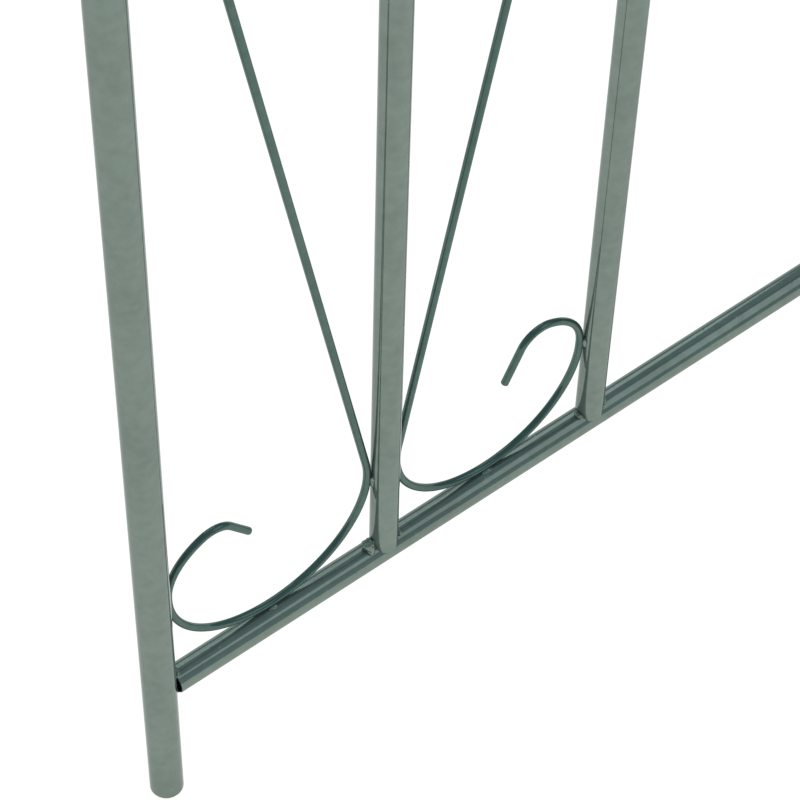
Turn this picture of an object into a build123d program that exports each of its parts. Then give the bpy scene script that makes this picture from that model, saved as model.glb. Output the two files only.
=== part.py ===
"""Walk-through garden trellis arch of painted steel tube. All sizes are in millimetres.

Frame: +Z up, +X to the right and -Y to the front. The origin is on the ground, midway between the four legs.
Each side is a lower and an upper welded panel. Two hoops, in two halves each, and five roof bars make the roof.
A panel has two rails, four inner tubes and four bent rod scrolls, in pairs about the tubes next to the posts.
Posts and hoops plug together with reduced ends, and a bolt through each joint keeps it together.
"""

import os
from math import asin, cos, degrees, radians, sin, sqrt

from build123d import *

os.makedirs("parts", exist_ok=True)

# Stock
post_od = 19.0
post_wall = 1.0
tube_od = 16.0
tube_wall = 0.8
rod_od = 4.5

# The arch as a whole
arch_width = 1300.0  # between the centres of the left and right posts
outer_bay_clear = 133.0  # free width of the bay next to a post
inner_bay_clear = 130.0  # free width of the next bay, across the lyre tube
centre_clear = 184.0  # free width of the open bay in the middle of each side
leg_length = 103.0  # from the ground to the centre of the bottom rail
lower_height = 850.0  # between the centres of a lower panel's rails
upper_height = 600.0  # between the centres of an upper panel's rails
panel_gap = 74.0  # between the lower panel's top rail and the upper panel's bottom rail
spring_rise = 64.0  # from the upper panel's top rail to where the hoop starts to bend
roof_bar_angles = (30.0, 60.0, 90.0, 120.0, 150.0)  # from the right-hand spring line

# Fits between welded pieces
seat_gap = 0.05  # between a curved face and what it is welded to
tube_end_above_rail = 5.0  # from a rail's centre to the square-cut end of an inner tube

# Plug joints and their bolts
joint_above_rail = 46.0  # from a panel's top rail to the end of its posts
spigot_length = 42.0
spigot_clearance = 0.15
swage_length = 4.0
crown_joint_offset = 52.0  # from the crown to the hoop's joint, along the bend
bolt_inset = 20.0  # from the socket's end to the bolt
bolt_d = 5.0
bolt_hole_clearance = 0.25
bolt_head_d = 9.5
bolt_head_h = 3.0
bolt_head_round = 1.2
bolt_key_af = 3.0
bolt_key_depth = 1.8
bolt_past_nut = 1.5
nut_af = 8.0
nut_h = 4.0
nut_bore_clearance = 0.05

# Scrolls
scroll_offset = 3.0  # from the tubes' centre plane to the rod's centre line, towards the walkway
curl_radius = 37.5
curl_rise = 2.0  # straight rise between the belly and the curl
hook_radius = 15.0
hook_start = 112.5  # degrees from level at which the curl tightens into its hook
hook_end = {"outer": 37.0, "inner": 24.5}  # degrees from level at which it runs out into its straight tail
tail_length = {"outer": 18.5, "inner": 25.0}
rod_chamfer = 0.5

# Places that follow from the sizes above
half_width = arch_width / 2
post_r = post_od / 2
tube_r = tube_od / 2
rod_r = rod_od / 2
inner_y = centre_clear / 2 + tube_r
lyre_y = inner_y + tube_od + inner_bay_clear
post_y = lyre_y + tube_r + outer_bay_clear + post_r
rail_length = 2 * (post_y - post_r)

lower_bottom = leg_length
lower_top = lower_bottom + lower_height
upper_bottom = lower_top + panel_gap
upper_top = upper_bottom + upper_height
post_joint = lower_top + joint_above_rail
hoop_joint = upper_top + joint_above_rail
spring_z = upper_top + spring_rise
hoop_radius = half_width
post_bore_r = post_r - post_wall
spigot_r = post_bore_r - spigot_clearance
spigot_bore_r = spigot_r - post_wall
bolt_hole_r = bolt_d / 2 + bolt_hole_clearance
crown_joint_angle = 90.0 + degrees(crown_joint_offset / hoop_radius)
crown_bolt_angle = crown_joint_angle + degrees(bolt_inset / hoop_radius)

# A rod's centre lies this far inside the bay, so that it seats on the post, the thickest tube beside it
rod_inset = sqrt((post_r + rod_r + seat_gap) ** 2 - scroll_offset**2) - post_r
bays = {
    "outer": {"clear": outer_bay_clear, "middle": post_y - post_r - outer_bay_clear / 2, "inward": -1},
    "inner": {"clear": inner_bay_clear, "middle": inner_y + tube_r + inner_bay_clear / 2, "inward": 1},
}

sides = {"left": -1, "right": 1}
ends = {"front": -1, "rear": 1}
panels = {"lower": (lower_bottom, lower_top), "upper": (upper_bottom, upper_top)}


def save(piece, name):
    """Labels a finished piece and writes it to its own STEP file."""
    piece.label = name
    export_step(piece, f"parts/{name}.step")


def drill(point, direction):
    """Cuts a bolt hole through both walls of the tube that is being built."""
    with BuildSketch(Plane(origin=point, z_dir=direction)) as hole:
        Circle(bolt_hole_r)
    extrude(hole.sketch, amount=post_od, both=True, mode=Mode.SUBTRACT)


def plug_and_tube(x, y, joint_z, top_z):
    """Adds an upright tube whose lower end is reduced to plug into the tube below the joint."""
    with BuildSketch(Plane(origin=(x, y, 0), x_dir=(1, 0, 0), z_dir=(0, -1, 0))) as half_section:
        with BuildLine():
            Polyline(
                (spigot_r, joint_z - spigot_length),
                (spigot_r, joint_z),
                (post_r, joint_z + swage_length),
                (post_r, top_z),
                (post_bore_r, top_z),
                (post_bore_r, joint_z + swage_length),
                (spigot_bore_r, joint_z),
                (spigot_bore_r, joint_z - spigot_length),
                close=True,
            )
        make_face()
    revolve(half_section.sketch, axis=Axis((x, y, 0), (0, 0, 1)))


# Lower posts: plain tube with an open foot, bolted near the top
def make_lower_post(x, y):
    with BuildPart() as post:
        with BuildSketch(Plane(origin=(x, y, 0))):
            Circle(post_r)
            Circle(post_bore_r, mode=Mode.SUBTRACT)
        extrude(amount=post_joint)
        drill((x, y, post_joint - bolt_inset), (1, 0, 0))
    return post.part


# Upper posts: reduced at the foot, bolted at both ends
def make_upper_post(x, y):
    with BuildPart() as post:
        plug_and_tube(x, y, post_joint, hoop_joint)
        drill((x, y, post_joint - bolt_inset), (1, 0, 0))
        drill((x, y, hoop_joint - bolt_inset), (1, 0, 0))
    return post.part


# Rails and roof bars: square-cut tubes that butt against the posts or the hoops at both ends
def make_cross_tube(x, z):
    with BuildPart() as tube:
        with BuildSketch(Plane(origin=(x, 0, z), z_dir=(0, 1, 0))):
            Circle(tube_r)
            Circle(tube_r - tube_wall, mode=Mode.SUBTRACT)
        extrude(amount=rail_length / 2, both=True)
    return tube.part


# Inner tubes: cut square just above each rail's centre, and cut out to sit over the rail
def make_inner_tube(x, y, bottom, top):
    with BuildPart() as tube:
        with BuildSketch(Plane(origin=(x, y, bottom + tube_end_above_rail))):
            Circle(tube_r)
            Circle(tube_r - tube_wall, mode=Mode.SUBTRACT)
        extrude(amount=top - bottom - 2 * tube_end_above_rail)
        for rail_z in (bottom, top):
            with BuildSketch(Plane(origin=(x, y, rail_z), z_dir=(0, 1, 0))):
                Circle(tube_r + seat_gap)
            extrude(amount=tube_od, both=True, mode=Mode.SUBTRACT)
    return tube.part


# Scrolls: a rod with a belly and a curl at each end, the same after half a turn about its middle
def scroll_path(bay, height):
    """A scroll's centre line, from the middle of its bay at the centre of the bottom rail."""
    belly_radius = bays[bay]["clear"] / 2 - rod_inset
    belly_height = tube_r + rod_inset + belly_radius
    belly_lean = degrees(asin(belly_radius / (height / 2 - belly_height)))
    curl_x = curl_radius - belly_radius
    curl_y = belly_height + curl_rise
    to_hook = curl_radius - hook_radius
    hook_x = curl_x + to_hook * cos(radians(hook_start))
    hook_y = curl_y + to_hook * sin(radians(hook_start))
    with BuildLine() as half:
        hook = CenterArc((hook_x, hook_y), hook_radius, hook_end[bay], hook_start - hook_end[bay])
        Line(hook @ 0 - hook % 0 * tail_length[bay], hook @ 0)
        curl = CenterArc((curl_x, curl_y), curl_radius, hook_start, 180.0 - hook_start)
        Line(curl @ 1, (-belly_radius, belly_height))
        belly = CenterArc((0, belly_height), belly_radius, 180.0, 180.0 + belly_lean)
        Line(belly @ 1, (0, height / 2))
    other_half = half.line.rotate(Axis((0, height / 2, 0), (0, 0, 1)), 180.0)
    return Wire(half.line.edges() + other_half.edges())


def make_scroll(plane, bay, height):
    path = plane.from_local_coords(scroll_path(bay, height))
    with BuildPart() as scroll:
        with BuildSketch(Plane(origin=path @ 0, z_dir=path % 0)):
            Circle(rod_r)
        sweep(path=path)
        chamfer(scroll.faces().filter_by(GeomType.PLANE).edges(), length=rod_chamfer)
    return scroll.part


def hoop_point(angle, y):
    """A point on a hoop's centre line, at an angle from the right-hand spring line."""
    return (hoop_radius * cos(radians(angle)), y, spring_z + hoop_radius * sin(radians(angle)))


def bend(start, end, y, outer_r, inner_r):
    """Adds a stretch of curved tube between two angles to the hoop that is being built."""
    turn = 1 if end > start else -1
    tangent = (-turn * sin(radians(start)), 0, turn * cos(radians(start)))
    with BuildSketch(Plane(origin=hoop_point(start, y), x_dir=(0, 1, 0), z_dir=tangent)) as section:
        Circle(outer_r)
        Circle(inner_r, mode=Mode.SUBTRACT)
    revolve(section.sketch, axis=Axis((0, y, spring_z), (0, -turn, 0)), revolution_arc=abs(end - start))


# Hoop halves: a straight foot that plugs into the post, then the bend. The right half plugs into the left
def make_hoop(side, y):
    x = side * half_width
    with BuildPart() as hoop:
        plug_and_tube(x, y, hoop_joint, spring_z)
        if side > 0:
            shoulder_angle = crown_joint_angle - degrees(swage_length / hoop_radius)
            plug_angle = crown_joint_angle + degrees(spigot_length / hoop_radius)
            bend(0.0, shoulder_angle, y, post_r, post_bore_r)
            bend(shoulder_angle, crown_joint_angle, y, post_r, spigot_bore_r)
            bend(crown_joint_angle, plug_angle, y, spigot_r, spigot_bore_r)
        else:
            bend(180.0, crown_joint_angle, y, post_r, post_bore_r)
        drill((x, y, hoop_joint - bolt_inset), (1, 0, 0))
        drill(hoop_point(crown_bolt_angle, y), (0, 1, 0))
    return hoop.part


# Bolts: button head against the outside of the tube, shank through both walls and the nut
def make_bolt(point, outward):
    axis_plane = Plane(origin=point, z_dir=outward)
    shank_length = post_od + nut_h + bolt_past_nut
    with BuildPart() as bolt:
        with BuildSketch(axis_plane.offset(post_r)):
            Circle(bolt_head_d / 2)
        extrude(amount=bolt_head_h)
        fillet(bolt.edges().sort_by(Axis(point, outward))[-1], radius=bolt_head_round)
        with BuildSketch(axis_plane.offset(post_r)):
            Circle(bolt_d / 2)
        extrude(amount=-shank_length)
        with BuildSketch(axis_plane.offset(post_r + bolt_head_h)):
            RegularPolygon(bolt_key_af / 2, 6, major_radius=False)
        extrude(amount=-bolt_key_depth, mode=Mode.SUBTRACT)
    return bolt.part


def make_nut(point, outward):
    with BuildPart() as nut:
        with BuildSketch(Plane(origin=point, z_dir=outward).offset(-post_r)):
            RegularPolygon(nut_af / 2, 6, major_radius=False)
            Circle(bolt_d / 2 + nut_bore_clearance, mode=Mode.SUBTRACT)
        extrude(amount=-nut_h)
    return nut.part


def bolt_places():
    """Centre of the tube and outward direction at each of the ten bolted joints."""
    places = []
    for end in ends.values():
        y = end * post_y
        for side in sides.values():
            for joint_z in (post_joint, hoop_joint):
                places.append(((side * half_width, y, joint_z - bolt_inset), (side, 0, 0)))
        places.append((hoop_point(crown_bolt_angle, y), (0, end, 0)))
    return places


# The four side panels, with their posts
for side_name, side in sides.items():
    x = side * half_width
    for end_name, end in ends.items():
        save(make_lower_post(x, end * post_y), f"lower_post_{end_name}_{side_name}")
        save(make_upper_post(x, end * post_y), f"upper_post_{end_name}_{side_name}")
    for level, (bottom, top) in panels.items():
        save(make_cross_tube(x, bottom), f"{level}_panel_bottom_rail_{side_name}")
        save(make_cross_tube(x, top), f"{level}_panel_top_rail_{side_name}")
        for end_name, end in ends.items():
            place = f"{end_name}_{side_name}"
            save(make_inner_tube(x, end * lyre_y, bottom, top), f"{level}_lyre_tube_{place}")
            save(make_inner_tube(x, end * inner_y, bottom, top), f"{level}_inner_tube_{place}")
            for bay, layout in bays.items():
                inward = end * layout["inward"]
                bay_plane = Plane(
                    origin=(x - side * scroll_offset, end * layout["middle"], bottom),
                    x_dir=(0, inward, 0),
                    z_dir=(inward, 0, 0),
                )
                save(make_scroll(bay_plane, bay, top - bottom), f"{level}_{bay}_scroll_{place}")

# The roof
for end_name, end in ends.items():
    for side_name, side in sides.items():
        save(make_hoop(side, end * post_y), f"hoop_half_{end_name}_{side_name}")
for number, angle in enumerate(roof_bar_angles, start=1):
    bar_x, _, bar_z = hoop_point(angle, 0)
    save(make_cross_tube(bar_x, bar_z), f"roof_bar_{number}")

# Fasteners
save(Compound(children=[make_bolt(*place) for place in bolt_places()]), "joint_bolts")
save(Compound(children=[make_nut(*place) for place in bolt_places()]), "joint_nuts")
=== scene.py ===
"""Looks of a walk-through garden trellis arch: painted steel tube, bent rod scrolls, weld beads and joint bolts.

Everything is in metres, in the frame of the solids: +Z up, +X to the right, -Y to the front, ground at Z = 0.
"""

from math import asin, cos, pi, radians, sin, sqrt

import bmesh
import bpy
from mathutils import Matrix, Vector, noise


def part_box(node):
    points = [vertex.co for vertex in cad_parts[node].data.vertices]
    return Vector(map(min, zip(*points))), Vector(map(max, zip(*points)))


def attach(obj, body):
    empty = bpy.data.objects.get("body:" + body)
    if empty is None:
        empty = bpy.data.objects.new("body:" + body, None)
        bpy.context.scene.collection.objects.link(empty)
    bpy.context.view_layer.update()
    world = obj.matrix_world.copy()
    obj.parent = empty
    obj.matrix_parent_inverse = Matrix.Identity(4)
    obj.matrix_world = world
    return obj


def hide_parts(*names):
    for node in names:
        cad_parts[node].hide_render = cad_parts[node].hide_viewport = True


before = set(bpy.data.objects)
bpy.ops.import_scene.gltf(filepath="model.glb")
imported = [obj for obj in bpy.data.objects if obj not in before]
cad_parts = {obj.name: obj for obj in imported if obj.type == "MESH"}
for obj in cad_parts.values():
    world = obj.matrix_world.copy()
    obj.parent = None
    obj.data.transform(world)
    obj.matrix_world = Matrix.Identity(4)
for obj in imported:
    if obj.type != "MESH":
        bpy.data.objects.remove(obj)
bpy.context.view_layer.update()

sides = {"left": -1, "right": 1}
ends = {"front": -1, "rear": 1}
levels = ("lower", "upper")

# Enamel -------------------------------------------------------------------------------------------------------
# Every tube, rod and weld bead wears one coat of gloss grey-green enamel, sprayed on after welding.
# It flows out almost flat, with a faint orange peel, a few dust nibs and a thin film of dirt. The rods get a
# darker copy
# of the same enamel: painted shade, as the real rods wear the same paint as the tubes.

enamel_colour = (0.215, 0.262, 0.232, 1.0)
# The rods' colour is the tube enamel painted darker: painted shade, not a paint of their own.
rod_shaded_colour = (0.090, 0.148, 0.134, 1.0)
bore_colour = (0.020, 0.019, 0.017, 1.0)
dirt_colour = (0.20, 0.20, 0.17, 1.0)
dirt_roughness = 0.35
coat_ior = 1.45
coat_metallic = 0.5
coat_edge_tint = (0.38, 0.42, 0.40, 1.0)


def new_group(name, inputs, outputs):
    """An empty shader node group with named float or colour sockets."""
    group = bpy.data.node_groups.new(name, "ShaderNodeTree")
    for socket, kind in inputs:
        group.interface.new_socket(socket, in_out="INPUT", socket_type=kind)
    for socket, kind in outputs:
        group.interface.new_socket(socket, in_out="OUTPUT", socket_type=kind)
    return group


def node_in(tree, kind, settings=None, **inputs):
    """Adds a node, with its settings and with plain values or links on its named inputs."""
    node = tree.nodes.new(kind)
    for key, value in (settings or {}).items():
        setattr(node, key, value)
    for key, value in inputs.items():
        socket = node.inputs[int(key[1:])] if key[0] == "_" else node.inputs[key.replace("_", " ")]
        if isinstance(value, bpy.types.NodeSocket):
            tree.links.new(value, socket)
        else:
            socket.default_value = value
    return node


def noise_value(tree, place, scale, detail):
    return node_in(tree, "ShaderNodeTexNoise", Vector=place, Scale=scale, Detail=detail).outputs["Fac"]


def math_value(tree, operation, first, second):
    return node_in(tree, "ShaderNodeMath", {"operation": operation}, _0=first, _1=second).outputs[0]


def ramp_value(tree, value, low, high, to_low=0.0, to_high=1.0):
    """Maps a value between two limits to another range, clamped."""
    ramp = node_in(tree, "ShaderNodeMapRange", Value=value)
    for socket, number in zip(("From Min", "From Max", "To Min", "To Max"), (low, high, to_low, to_high)):
        source = ramp.inputs[socket]
        if isinstance(number, bpy.types.NodeSocket):
            tree.links.new(number, source)
        else:
            source.default_value = number
    return ramp.outputs[0]


def mix_colour(tree, factor, first, second, blend="MIX"):
    mix = node_in(tree, "ShaderNodeMix", {"data_type": "RGBA", "blend_type": blend})
    for index, value in ((0, factor), (6, first), (7, second)):
        if isinstance(value, bpy.types.NodeSocket):
            tree.links.new(value, mix.inputs[index])
        else:
            mix.inputs[index].default_value = value
    return mix.outputs[2]


def build_paint_flow():
    """How sprayed enamel varies over the steel: tone, gloss, orange peel, nibs and settled dirt."""
    colour, number = "NodeSocketColor", "NodeSocketFloat"
    group = new_group(
        "paint_flow",
        (("Paint", colour), ("Tone Change", number), ("Gloss Roughness", number), ("Dirt", number),
         ("Peel", number), ("Nibs", number)),
        (("Color", colour), ("Roughness", number), ("Height", number)),
    )
    given = group.nodes.new("NodeGroupInput").outputs
    out = group.nodes.new("NodeGroupOutput")
    place = group.nodes.new("ShaderNodeTexCoord").outputs["Object"]
    broad = noise_value(group, place, 14.0, 4.0)
    fine = noise_value(group, place, 160.0, 5.0)
    peel = noise_value(group, place, 620.0, 2.0)
    cells = node_in(group, "ShaderNodeTexVoronoi", Vector=place, Scale=210.0).outputs
    sparse = ramp_value(group, noise_value(group, place, 75.0, 1.0), 0.56, 0.60)
    nib = math_value(group, "MULTIPLY", ramp_value(group, cells["Distance"], 0.16, 0.05), sparse)
    tone = ramp_value(group, math_value(group, "ADD", broad, fine), 0.75, 1.25, -1.0, 1.0)
    shade = math_value(group, "MULTIPLY_ADD", tone, given["Tone Change"])
    shade.node.inputs[2].default_value = 1.0
    toned = mix_colour(group, 1.0, given["Paint"], shade, "MULTIPLY")
    specks = ramp_value(group, noise_value(group, place, 900.0, 3.0), 0.60, 0.72)
    film = math_value(group, "MULTIPLY", ramp_value(group, broad, 0.45, 0.75), ramp_value(group, fine, 0.40, 0.70))
    dirt = math_value(group, "MAXIMUM", math_value(group, "MULTIPLY", specks, 0.6), film)
    dirt = math_value(group, "MULTIPLY", dirt, given["Dirt"])
    dusty = mix_colour(group, dirt, toned, dirt_colour)
    rough = math_value(group, "MULTIPLY_ADD", dirt, dirt_roughness)
    group.links.new(given["Gloss Roughness"], rough.node.inputs[2])
    height = math_value(group, "MULTIPLY", peel, given["Peel"])
    nib_height = math_value(group, "MULTIPLY", nib, given["Nibs"])
    for socket, value in (("Color", dusty), ("Roughness", rough),
                          ("Height", math_value(group, "ADD", height, nib_height))):
        group.links.new(value, out.inputs[socket])
    return group


paint_flow = build_paint_flow()


def enamel_material(name, paint, tone, roughness, dirt, peel, nibs):
    """Gloss enamel over steel. Peel and nibs are heights, in metres."""
    material = bpy.data.materials.new(name)
    material.use_nodes = True
    tree = material.node_tree
    shader = tree.nodes["Principled BSDF"]
    shader.inputs["IOR"].default_value = coat_ior
    shader.inputs["Metallic"].default_value = coat_metallic
    shader.inputs["Specular Tint"].default_value = coat_edge_tint
    flow = tree.nodes.new("ShaderNodeGroup")
    flow.node_tree = paint_flow
    for socket, value in (("Paint", paint), ("Tone Change", tone), ("Gloss Roughness", roughness),
                          ("Dirt", dirt), ("Peel", peel), ("Nibs", nibs)):
        flow.inputs[socket].default_value = value
    bump = node_in(tree, "ShaderNodeBump", Height=flow.outputs["Height"], Distance=1.0)
    tree.links.new(flow.outputs["Color"], shader.inputs["Base Color"])
    tree.links.new(flow.outputs["Roughness"], shader.inputs["Roughness"])
    tree.links.new(bump.outputs["Normal"], shader.inputs["Normal"])
    return material


tube_enamel = enamel_material("tube_enamel", enamel_colour, 0.10, 0.055, 0.10, 0.000006, 0.00008)
# The rods' material is a painted-shade copy of the tube enamel, darker than the real paint.
rod_shaded_enamel = enamel_material("rod_shaded_enamel", rod_shaded_colour, 0.12, 0.08, 0.10, 0.000008, 0.00006)
bead_enamel = enamel_material("bead_enamel", enamel_colour, 0.22, 0.16, 0.30, 0.00005, 0.00010)
bare_bore = enamel_material("bare_bore", bore_colour, 0.40, 0.62, 0.10, 0.00004, 0.0)


def finish_piece(name, bm, materials, slot_name, *nodes):
    """Turns a bmesh into a smooth-shaded piece that rides on the arch and stands for its solids."""
    mesh = bpy.data.meshes.new(name)
    bm.to_mesh(mesh)
    bm.free()
    mesh.shade_smooth()
    piece = bpy.data.objects.new(name, mesh)
    bpy.context.collection.objects.link(piece)
    for material in materials:
        mesh.materials.append(material)
    crisp = piece.modifiers.new("crisp", "WEIGHTED_NORMAL")
    crisp.weight = 100
    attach(piece, "root")
    if nodes:
        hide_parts(*nodes)
    return piece


# Posts --------------------------------------------------------------------------------------------------------
# Steel tube, 19 mm across with a 1 mm wall. A lower post is sawn square at both ends, and its open foot is the
# leg. An upper post is swaged down at its foot, so that it plugs into the lower one.

post_radius = 0.0095
post_wall = 0.001
spigot_radius = 0.00835
swage_length = 0.004
spigot_length = 0.042
saw_round = 0.00022
around = 72


def turned_bmesh(section, centre=(0.0, 0.0)):
    """Spins a closed half section, a list of (radius, height), round an upright axis, with its corners eased."""
    bm = bmesh.new()
    corners = [bm.verts.new((radius, 0.0, height)) for radius, height in section]
    loop = [bm.edges.new((a, b)) for a, b in zip(corners, corners[1:] + corners[:1])]
    bmesh.ops.bevel(bm, geom=corners, offset=saw_round, offset_type="OFFSET", segments=3, profile=0.5,
                    affect="VERTICES", material=-1)
    bmesh.ops.spin(bm, geom=bm.verts[:] + bm.edges[:], cent=(0, 0, 0), axis=(0, 0, 1), angle=2 * pi,
                   steps=around, use_merge=True, use_duplicate=False)
    bmesh.ops.remove_doubles(bm, verts=bm.verts, dist=1e-6)
    bmesh.ops.recalc_face_normals(bm, faces=bm.faces)
    bmesh.ops.translate(bm, verts=bm.verts, vec=(*centre, 0.0))
    return bm


def paint_bore(bm, axis_point, axis, bore_limit):
    """Gives the second material to faces that look towards the tube's axis."""
    for face in bm.faces:
        outward = face.calc_center_median() - Vector(axis_point)
        outward -= Vector(axis) * outward.dot(Vector(axis))
        if outward.length < bore_limit and face.normal.dot(outward) < 0:
            face.material_index = 1


def middle_of(node):
    low, high = (Vector(corner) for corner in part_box(node))
    return low, high, (low + high) / 2


def tube_section(outer, wall, bottom, top):
    return [(outer, bottom), (outer, top), (outer - wall, top), (outer - wall, bottom)]


def plug_section(joint, top):
    """Half section of an upright tube with a swaged plug below its joint."""
    return [
        (spigot_radius, joint - spigot_length), (spigot_radius, joint), (post_radius, joint + swage_length),
        (post_radius, top), (post_radius - post_wall, top), (post_radius - post_wall, joint + swage_length),
        (spigot_radius - post_wall, joint), (spigot_radius - post_wall, joint - spigot_length),
    ]


for side_name in sides:
    for end_name in ends:
        for level in levels:
            node = f"{level}_post_{end_name}_{side_name}"
            low, high, centre = middle_of(node)
            if level == "lower":
                section = tube_section(post_radius, post_wall, low.z, high.z)
            else:
                section = plug_section(low.z + spigot_length, high.z)
            post = turned_bmesh(section, (centre.x, centre.y))
            paint_bore(post, centre, (0, 0, 1), post_radius - post_wall / 2)
            finish_piece(f"{node}_tube", post, (tube_enamel, bare_bore), "painted_steel", node)


# Rails --------------------------------------------------------------------------------------------------------
# Thinner tube, 16 mm across, sawn square and butted between the posts, so its open end shows beside the post.

tube_radius = 0.008
tube_wall = 0.0008


def cross_tube(node, name):
    """A square-cut tube that runs front to back in the space of its solid."""
    low, high, centre = middle_of(node)
    half_length = (high.y - low.y) / 2
    tube = turned_bmesh(tube_section(tube_radius, tube_wall, -half_length, half_length))
    bmesh.ops.transform(tube, matrix=Matrix.Rotation(-pi / 2, 4, "X"), verts=tube.verts)
    bmesh.ops.translate(tube, verts=tube.verts, vec=centre)
    paint_bore(tube, centre, (0, 1, 0), tube_radius - tube_wall / 2)
    return finish_piece(name, tube, (tube_enamel, bare_bore), "painted_steel", node)


for side_name in sides:
    for level in levels:
        for height in ("bottom", "top"):
            node = f"{level}_panel_{height}_rail_{side_name}"
            cross_tube(node, f"{node}_tube")


# Inner tubes --------------------------------------------------------------------------------------------------
# The same 16 mm tube, four in each panel. Each end is sawn a little past the rail's centre and notched to sit
# over the rail, so the two side walls hang down beside it.

notch_gap = 0.00005

for side_name in sides:
    for end_name in ends:
        for level in levels:
            rails = [middle_of(f"{level}_panel_{height}_rail_{side_name}")[2].z for height in ("bottom", "top")]
            for kind in ("lyre", "inner"):
                node = f"{level}_{kind}_tube_{end_name}_{side_name}"
                low, high, centre = middle_of(node)
                tube = turned_bmesh(tube_section(tube_radius, tube_wall, low.z, high.z), (centre.x, centre.y))
                for vertex in tube.verts:
                    beside = vertex.co.x - centre.x
                    saddle = sqrt(max((tube_radius + notch_gap) ** 2 - beside**2, 0.0))
                    if vertex.co.z < centre.z:
                        vertex.co.z = max(vertex.co.z, rails[0] + saddle)
                    else:
                        vertex.co.z = min(vertex.co.z, rails[1] - saddle)
                paint_bore(tube, centre, (0, 0, 1), tube_radius - tube_wall / 2)
                finish_piece(f"{node}_upright", tube, (tube_enamel, bare_bore), "painted_steel", node)


# Scrolls ------------------------------------------------------------------------------------------------------
# Cold-bent 4.5 mm rod. Each end rolls from a wide belly into a curl and a small hook with a straight tail, and the
# long straight between them crosses the bay. Two scrolls mirror each other about a tube, like a lyre.

rod_radius = 0.00225
curl_radius = 0.0375
curl_rise = 0.002
hook_radius = 0.015
hook_start = radians(112.5)
hook_end = {"outer": radians(37.0), "inner": radians(24.5)}
tail_length = {"outer": 0.0185, "inner": 0.025}
rod_around = 24
rod_end_round = 0.0006
arc_step = radians(3.0)


def grow_straight(bm, rim, start, finish):
    """Extrudes the rod's open rim from one point of its centre line to the next."""
    grown = bmesh.ops.extrude_edge_only(bm, edges=rim)["geom"]
    verts = [item for item in grown if isinstance(item, bmesh.types.BMVert)]
    bmesh.ops.translate(bm, verts=verts, vec=(finish - start).to_3d())
    return [item for item in grown if isinstance(item, bmesh.types.BMEdge)]


def grow_bend(bm, rim, centre, angle):
    """Spins the rod's open rim round a bend's centre."""
    steps = max(3, round(abs(angle) / arc_step))
    last = bmesh.ops.spin(bm, geom=rim, cent=centre.to_3d(), axis=(0, 0, 1), angle=angle, steps=steps,
                          use_merge=False, use_duplicate=False)["geom_last"]
    return [item for item in last if isinstance(item, bmesh.types.BMEdge)]


def on_arc(centre, radius, angle):
    return centre + Vector((cos(angle), sin(angle))) * radius


def scroll_bmesh(bay, belly_radius, belly_height, height):
    """A scroll in its bay: X across it from its middle, Y up from the bottom rail's centre."""
    middle = Vector((0.0, height / 2))
    belly = Vector((0.0, belly_height))
    curl = Vector((curl_radius - belly_radius, belly_height + curl_rise))
    hook = on_arc(curl, curl_radius - hook_radius, hook_start)
    lean = asin(belly_radius / (height / 2 - belly_height))
    hook_tip = on_arc(hook, hook_radius, hook_end[bay])
    tail_way = Vector((sin(hook_end[bay]), -cos(hook_end[bay])))
    tail_tip = hook_tip + tail_way * tail_length[bay]
    bm = bmesh.new()
    tilt = Vector((0, 0, 1)).rotation_difference((-tail_way).to_3d()).to_matrix().to_4x4()
    bmesh.ops.create_circle(bm, cap_ends=True, radius=rod_radius, segments=rod_around,
                            matrix=Matrix.Translation(tail_tip.to_3d()) @ tilt)
    cap = bm.faces[:]
    rim_edges = bm.edges[:]
    rim_edges = grow_straight(bm, rim_edges, tail_tip, hook_tip)
    rim_edges = grow_bend(bm, rim_edges, hook, hook_start - hook_end[bay])
    rim_edges = grow_bend(bm, rim_edges, curl, pi - hook_start)
    rim_edges = grow_straight(bm, rim_edges, on_arc(curl, curl_radius, pi), on_arc(belly, belly_radius, pi))
    rim_edges = grow_bend(bm, rim_edges, belly, pi + lean)
    grow_straight(bm, rim_edges, on_arc(belly, belly_radius, lean), middle)
    end_edges = list({edge for face in cap for edge in face.edges})
    bmesh.ops.bevel(bm, geom=end_edges, offset=rod_end_round, offset_type="OFFSET", segments=3, profile=0.5,
                    affect="EDGES", material=-1)
    other = bmesh.ops.duplicate(bm, geom=bm.verts[:] + bm.edges[:] + bm.faces[:])["geom"]
    turned = [item for item in other if isinstance(item, bmesh.types.BMVert)]
    bmesh.ops.rotate(bm, verts=turned, cent=middle.to_3d(), matrix=Matrix.Rotation(pi, 3, "Z"))
    bmesh.ops.remove_doubles(bm, verts=bm.verts, dist=2e-6)
    bmesh.ops.recalc_face_normals(bm, faces=bm.faces)
    return bm


def bay_matrix(x, y, z, inward):
    """Places a bay's own X, Y and Z in the arch: along the panel, up, and across the panel."""
    along = Vector((0, inward, 0))
    up = Vector((0, 0, 1))
    return Matrix.Translation((x, y, z)) @ Matrix((along, up, along.cross(up))).transposed().to_4x4()


bays = []
for side_name, side in sides.items():
    for end_name, end in ends.items():
        for level in levels:
            bottom, top = (
                middle_of(f"{level}_panel_{height}_rail_{side_name}")[2].z for height in ("bottom", "top")
            )
            for bay, inward in (("outer", -end), ("inner", end)):
                node = f"{level}_{bay}_scroll_{end_name}_{side_name}"
                low, high, centre = middle_of(node)
                belly_radius = (high.y - low.y) / 2 - rod_radius
                belly_height = low.z - bottom + rod_radius + belly_radius
                scroll = scroll_bmesh(bay, belly_radius, belly_height, top - bottom)
                place = bay_matrix(centre.x, centre.y, bottom, inward)
                bmesh.ops.transform(scroll, matrix=place, verts=scroll.verts)
                # The rods wear the darker, painted-shade copy of the enamel.
                finish_piece(f"{node}_rod", scroll, (rod_shaded_enamel,), "painted_steel", node)
                bays.append((level, side_name, place, belly_radius, belly_height, top - bottom))


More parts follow.
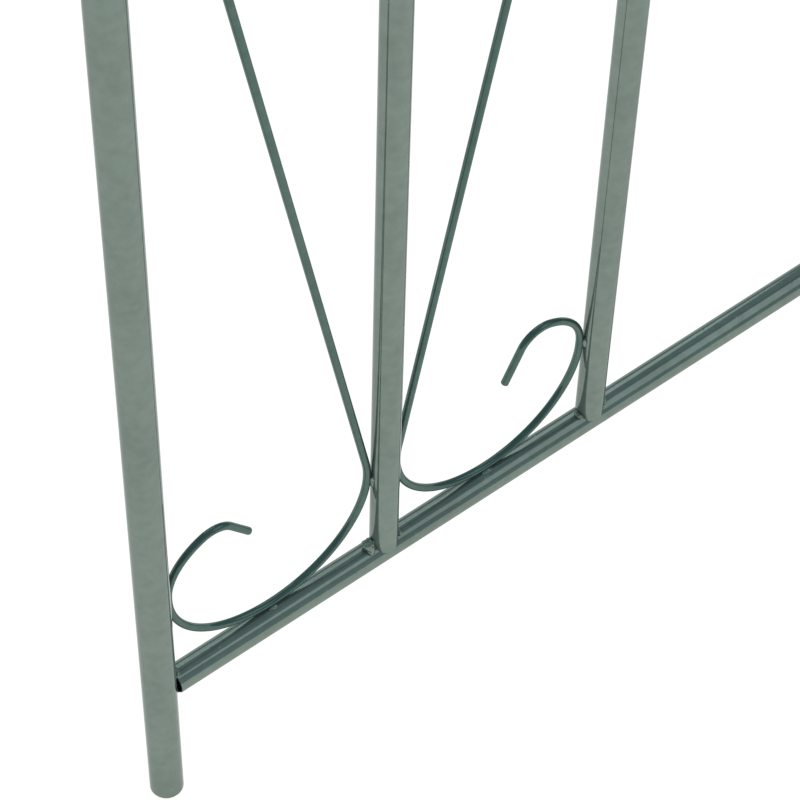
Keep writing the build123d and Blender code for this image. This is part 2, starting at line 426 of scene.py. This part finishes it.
# Weld beads ---------------------------------------------------------------------------------------------------
# Short tacks run by hand where tubes and rods meet, painted over with the rest. They stand up in rounded lumps
# with a few pits, larger at the feet of the inner tubes and small where a rod touches a tube.

bead_lumps = 260.0  # lumps per metre
bead_pits = 900.0
lump_height = 0.20
pit_depth = 0.30
pit_level = 0.15

# Half sizes of each kind of bead: along X, Y and Z in the arch, and the rods' ones in a bay's own axes.
foot_bead = (0.0046, 0.0038, 0.0048)
side_bead = (0.0034, 0.0019, 0.0022)
rail_bead = (0.0036, 0.0022, 0.0018)
post_dot = (0.0014, 0.0014, 0.0034)
lyre_dot = (0.0015, 0.0014, 0.0050)
rail_dot = (0.0014, 0.0034, 0.0013)
side_shift = 0.0004
rail_bead_inset = 0.0008
rail_bead_rise = 0.0078
dot_across = 0.0025
dot_past_rod = 0.0017
lyre_dot_drop = 0.004


def add_bead(bm, centre, radii, seed):
    """A lumpy, pitted drop of weld metal with the given half sizes."""
    drop = bmesh.ops.create_icosphere(bm, subdivisions=4, radius=1.0)["verts"]
    shift = Vector((seed * 1.7, seed * 0.9, -seed * 1.3))
    for vertex in drop:
        reach = Vector(a * b for a, b in zip(vertex.co, radii))
        lump = noise.noise(reach * bead_lumps + shift)
        pit = max(noise.noise(reach * bead_pits - shift) - pit_level, 0.0)
        vertex.co = Vector(centre) + reach * (1.0 + lump_height * 2 * lump - pit_depth * 2 * pit)


def add_rail_bead(bm, centre, rail_end, end, up, seed):
    """A short bead over or under a square-cut tube's end."""
    spot = (centre.x, rail_end - end * rail_bead_inset, centre.z + up * rail_bead_rise)
    add_bead(bm, spot, rail_bead, seed)


def weld_panel(level, side_name, number):
    """All the beads of one panel, as one piece."""
    bm = bmesh.new()
    seed = 10.0 * number
    side = sides[side_name]
    rails = [middle_of(f"{level}_panel_{height}_rail_{side_name}") for height in ("bottom", "top")]
    for rail_number, (low, high, centre) in enumerate(rails):
        into_panel = 1 if rail_number == 0 else -1
        for end_name, end in ends.items():
            for kind in ("lyre", "inner"):
                tube = middle_of(f"{level}_{kind}_tube_{end_name}_{side_name}")[2]
                for facing in (-1, 1):
                    big = kind == "lyre" and facing == end
                    radii = foot_bead if big else side_bead
                    spot = (centre.x + side * side_shift, tube.y + facing * (tube_radius + radii[1] * 0.5),
                            centre.z + into_panel * (tube_radius + radii[2] * 0.4))
                    add_bead(bm, spot, radii, seed)
                    seed += 1.0
            rail_end = (low.y, high.y)[end > 0]
            for up in (-1, 1):
                add_rail_bead(bm, centre, rail_end, end, up, seed)
                seed += 1.0
    for bay_level, bay_side, place, belly_radius, belly_height, height in bays:
        if (bay_level, bay_side) != (level, side_name):
            continue
        across = place.to_3x3() @ Vector((0, 0, 1))
        to_tubes = dot_across if across.x * side > 0 else -dot_across
        spots = (
            (Vector((-belly_radius - dot_past_rod, belly_height + curl_rise, to_tubes)), post_dot),
            (Vector((belly_radius + dot_past_rod, belly_height - lyre_dot_drop, to_tubes)), lyre_dot),
            (Vector((0.0, belly_height - belly_radius - dot_past_rod, to_tubes)), rail_dot),
        )
        turn = Matrix.Translation((0, height, 0)) @ Matrix.Rotation(pi, 4, "Z")
        for spot, radii in spots:
            for where in (place, place @ turn):
                add_bead(bm, where @ spot, radii, seed)
                seed += 1.0
    return finish_piece(f"{level}_weld_beads_{side_name}", bm, (bead_enamel,), "painted_steel")


for number, (level, side_name) in enumerate((level, side_name) for level in levels for side_name in sides):
    weld_panel(level, side_name, number)


# Hoops --------------------------------------------------------------------------------------------------------
# Two bent halves of post tube make each hoop. Each foot plugs into an upper post, and the right half's end
# plugs into the left half just past the crown. The feet are turned tube, and the bends are outer skins.

spring_height = 0.018  # from the post's top to where the bend starts
crown_joint_offset = 0.052
hoop_step = radians(1.0)


def hoop_bmesh(start, way, angle):
    """The outer skin of a bent tube that starts at the spring line. Both its ends are open rims."""
    bm = bmesh.new()
    bmesh.ops.create_circle(bm, radius=post_radius, segments=around, matrix=Matrix.Translation(start))
    steps = round(angle / hoop_step)
    bmesh.ops.spin(bm, geom=bm.edges[:], cent=(0, start.y, start.z), axis=(0, -way, 0), angle=angle,
                   steps=steps, use_merge=False, use_duplicate=False)
    return bm


for end_name in ends:
    for side_name, side in sides.items():
        node = f"hoop_half_{end_name}_{side_name}"
        low, high, _ = middle_of(node)
        foot = middle_of(f"upper_post_{end_name}_{side_name}")
        spring = Vector((foot[2].x, foot[2].y, foot[1].z + spring_height))
        reach = pi / 2 + side * crown_joint_offset / abs(spring.x)
        hoop = turned_bmesh(plug_section(foot[1].z, spring.z), (spring.x, spring.y))
        bend = hoop_bmesh(spring, side, reach)
        bend_mesh = bpy.data.meshes.new("bend")
        bend.to_mesh(bend_mesh)
        bend.free()
        hoop.from_mesh(bend_mesh)
        bpy.data.meshes.remove(bend_mesh)
        bmesh.ops.recalc_face_normals(hoop, faces=hoop.faces)
        finish_piece(f"{node}_tube", hoop, (tube_enamel,), "painted_steel", node)


# Roof bars ----------------------------------------------------------------------------------------------------
# Five 16 mm tubes between the hoops, sawn square and tacked at both ends.

roof_bars = [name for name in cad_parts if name.startswith("roof_bar")]
roof_beads = bmesh.new()
for number, node in enumerate(sorted(roof_bars)):
    cross_tube(node, f"{node}_tube")
    low, high, centre = middle_of(node)
    for end, rail_end in ((-1, low.y), (1, high.y)):
        for up in (-1, 1):
            add_rail_bead(roof_beads, centre, rail_end, end, up, 100.0 + number + 0.3 * end + 0.1 * up)
finish_piece("roof_weld_beads", roof_beads, (bead_enamel,), "painted_steel")


# Joint bolts --------------------------------------------------------------------------------------------------
# M5 button-head bolts with a hexagon key hole, and plain hexagon nuts, all zinc plated and left unpainted.

bolt_radius = 0.0025
bolt_head_radius = 0.00475
bolt_head_height = 0.0030
bolt_head_round = 0.0012
key_radius = 0.0015 / cos(pi / 6)
key_depth = 0.0018
bolt_inset = 0.020
bolt_past_nut = 0.0015
nut_radius = 0.0040 / cos(pi / 6)
nut_height = 0.0040
nut_round = 0.0003
bolt_around = 48

zinc_plate = enamel_material("zinc_plate", (0.56, 0.57, 0.58, 1.0), 0.08, 0.28, 0.20, 0.00002, 0.0)
zinc_plate.node_tree.nodes["Principled BSDF"].inputs["Metallic"].default_value = 1.0


def prism(bm, radius, sides_count, bottom, top, ease):
    """A closed upright prism or cylinder with eased rims."""
    made = bmesh.ops.create_circle(bm, cap_ends=True, radius=radius, segments=sides_count,
                                   matrix=Matrix.Translation((0, 0, bottom)))["verts"]
    face = made[0].link_faces[0]
    top_face = bmesh.ops.extrude_face_region(bm, geom=[face], use_keep_orig=True)["geom"]
    moved = [item for item in top_face if isinstance(item, bmesh.types.BMVert)]
    bmesh.ops.translate(bm, verts=moved, vec=(0, 0, top - bottom))
    new_face = next(item for item in top_face if isinstance(item, bmesh.types.BMFace))
    if ease:
        bmesh.ops.bevel(bm, geom=list(new_face.edges), offset=ease, offset_type="OFFSET", segments=4,
                        profile=0.5, affect="EDGES", material=-1)
    return max(bm.faces, key=lambda face: face.calc_center_median().z)


def bolt_bmesh():
    """A bolt along Z through a post's centre, with its head at the top and its nut's end at the bottom."""
    bm = bmesh.new()
    shank_end = -post_radius - nut_height - bolt_past_nut
    prism(bm, bolt_radius, bolt_around, shank_end, post_radius, 0.0)
    crown = prism(bm, bolt_head_radius, bolt_around, post_radius, post_radius + bolt_head_height, bolt_head_round)
    rim_width = bolt_head_radius - bolt_head_round - key_radius
    bmesh.ops.inset_individual(bm, faces=[crown], thickness=rim_width)
    for vertex in crown.verts:
        angle = (Vector((1, 0)).angle_signed(vertex.co.xy) if vertex.co.xy.length else 0.0) % (pi / 3)
        flat = key_radius * cos(pi / 6) / cos(angle - pi / 6)
        vertex.co.xy = vertex.co.xy.normalized() * flat
    sunk = bmesh.ops.extrude_face_region(bm, geom=[crown])["geom"]
    floor_verts = [item for item in sunk if isinstance(item, bmesh.types.BMVert)]
    bmesh.ops.translate(bm, verts=floor_verts, vec=(0, 0, -key_depth))
    bmesh.ops.delete(bm, geom=[crown], context="FACES_ONLY")
    bmesh.ops.recalc_face_normals(bm, faces=bm.faces)
    return bm


def nut_bmesh():
    bm = bmesh.new()
    prism(bm, nut_radius, 6, -post_radius - nut_height, -post_radius, 0.0)
    bmesh.ops.bevel(bm, geom=bm.edges[:], offset=nut_round, offset_type="OFFSET", segments=2, profile=0.5,
                    affect="EDGES", material=-1)
    bmesh.ops.recalc_face_normals(bm, faces=bm.faces)
    return bm


def fastener_places():
    """A matrix at each joint: its origin on the tube's centre and its Z outwards."""
    places = []
    for end_name, end in ends.items():
        for side_name, side in sides.items():
            for level in levels:
                low, high, centre = middle_of(f"{level}_post_{end_name}_{side_name}")
                point = Vector((centre.x, centre.y, high.z - bolt_inset))
                places.append(Matrix.Translation(point) @ Matrix.Rotation(side * pi / 2, 4, "Y"))
        arm = abs(centre.x)
        turn = pi / 2 + (crown_joint_offset + bolt_inset) / arm
        spring_z = high.z + spring_height
        point = Vector((arm * cos(turn), centre.y, spring_z + arm * sin(turn)))
        places.append(Matrix.Translation(point) @ Matrix.Rotation(-end * pi / 2, 4, "X"))
    return places


def repeat_fastener(make, name, node):
    whole = bmesh.new()
    for place in fastener_places():
        one = make()
        bmesh.ops.transform(one, matrix=place, verts=one.verts)
        part = bpy.data.meshes.new("part")
        one.to_mesh(part)
        one.free()
        whole.from_mesh(part)
        bpy.data.meshes.remove(part)
    return finish_piece(name, whole, (zinc_plate,), "zinc_plate", node)


repeat_fastener(bolt_bmesh, "bolt_set", "joint_bolts")
repeat_fastener(nut_bmesh, "nut_set", "joint_nuts")


# Studio -------------------------------------------------------------------------------------------------------
# A plain pale floor with an even glow, under a dim pale blue sky with two large lamps, and a camera above the
# front right foot.

floor_size = 30.0
floor_drop = 0.0005  # keeps the floor just under the feet
floor_glow = 0.86
floor_colour = (0.55, 0.55, 0.54, 1.0)
glow_colour = (1.0, 0.975, 0.92, 1.0)
sky_colour = (0.62, 0.86, 0.95, 1.0)
sky_strength = 0.40

bpy.ops.mesh.primitive_plane_add(size=floor_size, location=(0, 0, -floor_drop))
floor = bpy.context.object
floor.name = "floor"
floor_paint = bpy.data.materials.new("floor_paint")
floor_paint.use_nodes = True
floor_tree = floor_paint.node_tree
floor_shader = floor_tree.nodes["Principled BSDF"]
floor_shader.inputs["Base Color"].default_value = floor_colour
floor_shader.inputs["Roughness"].default_value = 0.9
floor_shader.inputs["Specular IOR Level"].default_value = 0.0
floor_shader.inputs["Emission Color"].default_value = glow_colour
floor_shader.inputs["Emission Strength"].default_value = floor_glow
floor.data.materials.append(floor_paint)

world = bpy.data.worlds.new("sky")
bpy.context.scene.world = world
world.use_nodes = True
sky = world.node_tree.nodes["Background"]
sky.inputs["Color"].default_value = sky_colour
sky.inputs["Strength"].default_value = sky_strength


def add_lamp(name, place, target, size, power):
    lamp_data = bpy.data.lights.new(name, "AREA")
    lamp_data.shape = "RECTANGLE"
    lamp_data.size, lamp_data.size_y = size
    lamp_data.energy = power
    lamp = bpy.data.objects.new(name, lamp_data)
    bpy.context.collection.objects.link(lamp)
    lamp.location = place
    lamp.rotation_euler = (Vector(target) - Vector(place)).to_track_quat("-Z", "Y").to_euler()
    return lamp


add_lamp("key_lamp", (3.2, 3.4, 4.4), (0.8, 0.4, 0.0), (5.0, 3.6), 45.0)
add_lamp("back_lamp", (-4.4, 1.2, 4.0), (0.2, 0.2, 0.4), (4.0, 3.6), 50.0)

camera_offset = Vector((0.7846, -0.4800, 1.5515))  # from where the post meets the bottom rail
camera_forward = Vector((-0.4498, 0.3664, -0.8145))
camera_right = Vector((0.6316, 0.7753, 0.0))
camera_roll = radians(1.74)
focal_length = 151.56  # millimetres, on a sensor 36 mm wide

near_post = middle_of("lower_post_front_right")[2]
near_rail = middle_of("lower_panel_bottom_rail_right")[2]
forward = camera_forward.normalized()
level_right = camera_right.normalized()
level_up = level_right.cross(forward)
right = level_right * cos(camera_roll) + level_up * sin(camera_roll)
up = level_up * cos(camera_roll) - level_right * sin(camera_roll)
camera_data = bpy.data.cameras.new("camera")
camera_data.lens = focal_length
camera_data.sensor_width = 36.0
camera = bpy.data.objects.new("camera", camera_data)
bpy.context.collection.objects.link(camera)
camera.matrix_world = (
    Matrix.Translation(Vector((near_post.x, near_post.y, near_rail.z)) + camera_offset)
    @ Matrix((right, up, -forward)).transposed().to_4x4()
)
bpy.context.scene.camera = camera
bpy.context.scene.view_settings.view_transform = "Standard"
